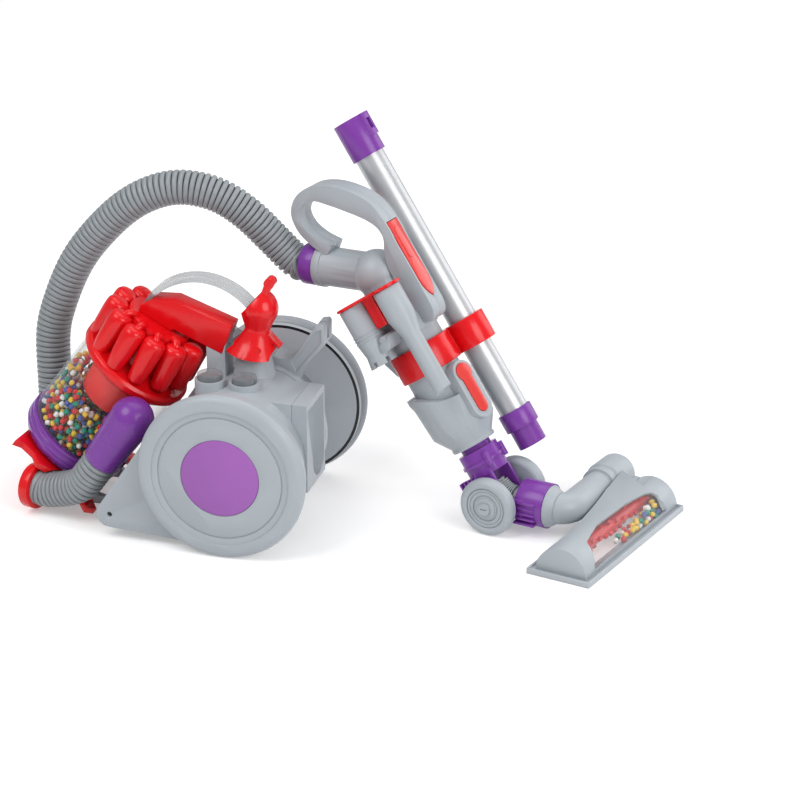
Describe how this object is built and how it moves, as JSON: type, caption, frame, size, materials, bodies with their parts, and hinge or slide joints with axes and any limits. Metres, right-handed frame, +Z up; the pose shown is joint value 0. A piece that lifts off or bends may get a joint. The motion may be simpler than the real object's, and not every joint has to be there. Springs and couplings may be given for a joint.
{
  "type": "toy vacuum cleaner",
  "caption": "Toy canister vacuum with big wheels, a clear bead bin under a ring of cyclone pods, a ribbed hose and a wand standing on a swivel foot with a floor head.",
  "frame": {"origin": "on the floor under the middle of the toy's box, hoses left out", "axes": "+X from the canister towards the floor head, +Y to the side where the hose runs, +Z up"},
  "size_m": [0.593, 0.2406, 0.3404],
  "materials": {
    "grey": "satin moulded",
    "red": "glossy moulded",
    "purple": "glossy moulded",
    "lilac": "matte moulded",
    "clear": "clear moulded plastic",
    "hose": "ribbed soft plastic",
    "steel": "ground rod",
    "screw": "blackened",
    "beads": "mixed bright colours",
    "dark": "matte",
    "cell": "wrapped battery",
    "sole": "satin moulded"
  },
  "bodies": {
    "canister": {"body_shell": "grey", "base_pan": "grey", "near_fairing": "grey", "far_fairing": "grey", "case_screws": "screw", "wheel_axle": "steel", "batteries": "cell", "battery_door": "grey", "parking_bracket": "grey", "bin_cylinder": "clear", "bin_base": "purple", "bin_beads": "beads", "drive_motor": "steel", "cyclone_shroud": "red", "cyclone_cap": "red", "top_beam": "red", "carry_handle": "clear", "inlet_elbow": "purple", "front_yoke": "red", "short_hose": "hose", "long_hose": "hose", "hose_cuff": "purple"},
    "near_wheel": {"near_wheel": "grey", "near_cap": "lilac"},
    "far_wheel": {"far_wheel": "grey", "far_cap": "lilac"},
    "front_roller": {"front_roller": "dark"},
    "dust_drawer": {"dust_drawer": "grey"},
    "front_button": {"front_button": "clear"},
    "rear_button": {"rear_button": "clear"},
    "release_lever": {"release_lever": "red"},
    "whirl_fan": {"whirl_fan": "grey"},
    "wand": {"elbow_tube": "grey", "handle_near": "grey", "handle_far": "grey", "wand_barrel": "grey", "lower_cup": "grey", "clip_band": "red", "tool_holder": "red", "swivel_upper": "purple"},
    "handle_rocker": {"handle_rocker": "red"},
    "wand_latch": {"wand_latch": "red"},
    "crevice_tool": {"crevice_tool": "grey"},
    "brush_tool": {"brush_tool": "grey"},
    "extension": {"extension_tube": "clear", "extension_socket": "purple", "extension_collar": "purple"},
    "foot": {"swivel_lower": "purple", "swivel_axle": "steel", "flex_duct": "hose"},
    "near_foot_wheel": {"near_foot_wheel": "grey"},
    "far_foot_wheel": {"far_foot_wheel": "grey"},
    "neck": {"head_neck": "grey"},
    "head": {"head_shell": "grey", "head_window": "clear", "head_base": "sole", "head_beads": "beads"},
    "brush_bar": {"brush_bar": "red"}
  },
  "joints": [
    {"name": "near_wheel_spin", "type": "hinge", "parent": "canister", "child": "near_wheel", "pos_m": [-0.06854, -0.11281, 0.075], "axis": [0, 1, 0], "continuous": true},
    {"name": "far_wheel_spin", "type": "hinge", "parent": "canister", "child": "far_wheel", "pos_m": [-0.06854, 0.07719, 0.075], "axis": [0, 1, 0], "continuous": true},
    {"name": "roller_spin", "type": "hinge", "parent": "canister", "child": "front_roller", "pos_m": [-0.17254, -0.01781, 0.01], "axis": [0, 1, 0], "continuous": true},
    {"name": "drawer_slide", "type": "slide", "parent": "canister", "child": "dust_drawer", "axis": [1, 0, 0], "range_m": [0, 0.036]},
    {"name": "front_button_press", "type": "slide", "parent": "canister", "child": "front_button", "axis": [0, 0, -1], "range_m": [0, 0.003], "stiffness_N_per_m": 400},
    {"name": "rear_button_press", "type": "slide", "parent": "canister", "child": "rear_button", "axis": [0, 0, -1], "range_m": [0, 0.003], "stiffness_N_per_m": 400},
    {"name": "lever_pull", "type": "hinge", "parent": "canister", "child": "release_lever", "pos_m": [-0.05954, -0.01781, 0.16], "axis": [0, 1, 0], "range_deg": [0, 10], "stiffness_Nm_per_rad": 0.6},
    {"name": "fan_spin", "type": "hinge", "parent": "canister", "child": "whirl_fan", "pos_m": [-0.24002, -0.01781, 0.04899], "axis": [0.6018, 0, 0.7986], "continuous": true},
    {"name": "hose_swivel", "type": "hinge", "parent": "canister", "child": "wand", "pos_m": [0.02336, 0.05144, 0.20949], "axis": [-0.9646, 0.2585, -0.0523], "range_deg": [-20, 20]},
    {"name": "rocker_press", "type": "hinge", "parent": "wand", "child": "handle_rocker", "pos_m": [0.04678, 0.04517, 0.24112], "axis": [0.2588, 0.9659, 0], "range_deg": [-2.5, 2.5], "stiffness_Nm_per_rad": 0.4},
    {"name": "latch_press", "type": "hinge", "parent": "wand", "child": "wand_latch", "pos_m": [0.11997, 0.01721, 0.1199], "axis": [-0.4425, -0.8859, -0.1388], "range_deg": [0, 5], "stiffness_Nm_per_rad": 0.3},
    {"name": "crevice_pull", "type": "slide", "parent": "wand", "child": "crevice_tool", "axis": [0.554, -0.1485, -0.8192], "range_m": [0, 0.03]},
    {"name": "brush_pull", "type": "slide", "parent": "wand", "child": "brush_tool", "axis": [0.554, -0.1485, -0.8192], "range_m": [0, 0.03]},
    {"name": "extension_slide", "type": "slide", "parent": "wand", "child": "extension", "axis": [-0.554, 0.1485, 0.8192], "range_m": [0, 0.03]},
    {"name": "foot_pitch", "type": "hinge", "parent": "wand", "child": "foot", "pos_m": [0.14746, 0.01819, 0.026], "axis": [0.2588, 0.9659, 0], "range_deg": [-25, 20]},
    {"name": "near_foot_wheel_spin", "type": "hinge", "parent": "foot", "child": "near_foot_wheel", "pos_m": [0.14022, -0.00886, 0.026], "axis": [0.2588, 0.9659, 0], "continuous": true},
    {"name": "far_foot_wheel_spin", "type": "hinge", "parent": "foot", "child": "far_foot_wheel", "pos_m": [0.15471, 0.04523, 0.026], "axis": [0.2588, 0.9659, 0], "continuous": true},
    {"name": "neck_roll", "type": "hinge", "parent": "foot", "child": "neck", "pos_m": [0.19286, 0.00602, 0.026], "axis": [0.9659, -0.2588, 0], "range_deg": [-15, 15]},
    {"name": "head_tilt", "type": "hinge", "parent": "neck", "child": "head", "pos_m": [0.22983, 0.08411, 0.025], "axis": [0.2588, 0.9659, 0], "range_deg": [-8, 8]},
    {"name": "brush_bar_spin", "type": "hinge", "parent": "head", "child": "brush_bar", "pos_m": [0.24427, 0.00467, 0.014], "axis": [0.2588, 0.9659, 0], "continuous": true}
  ]
}
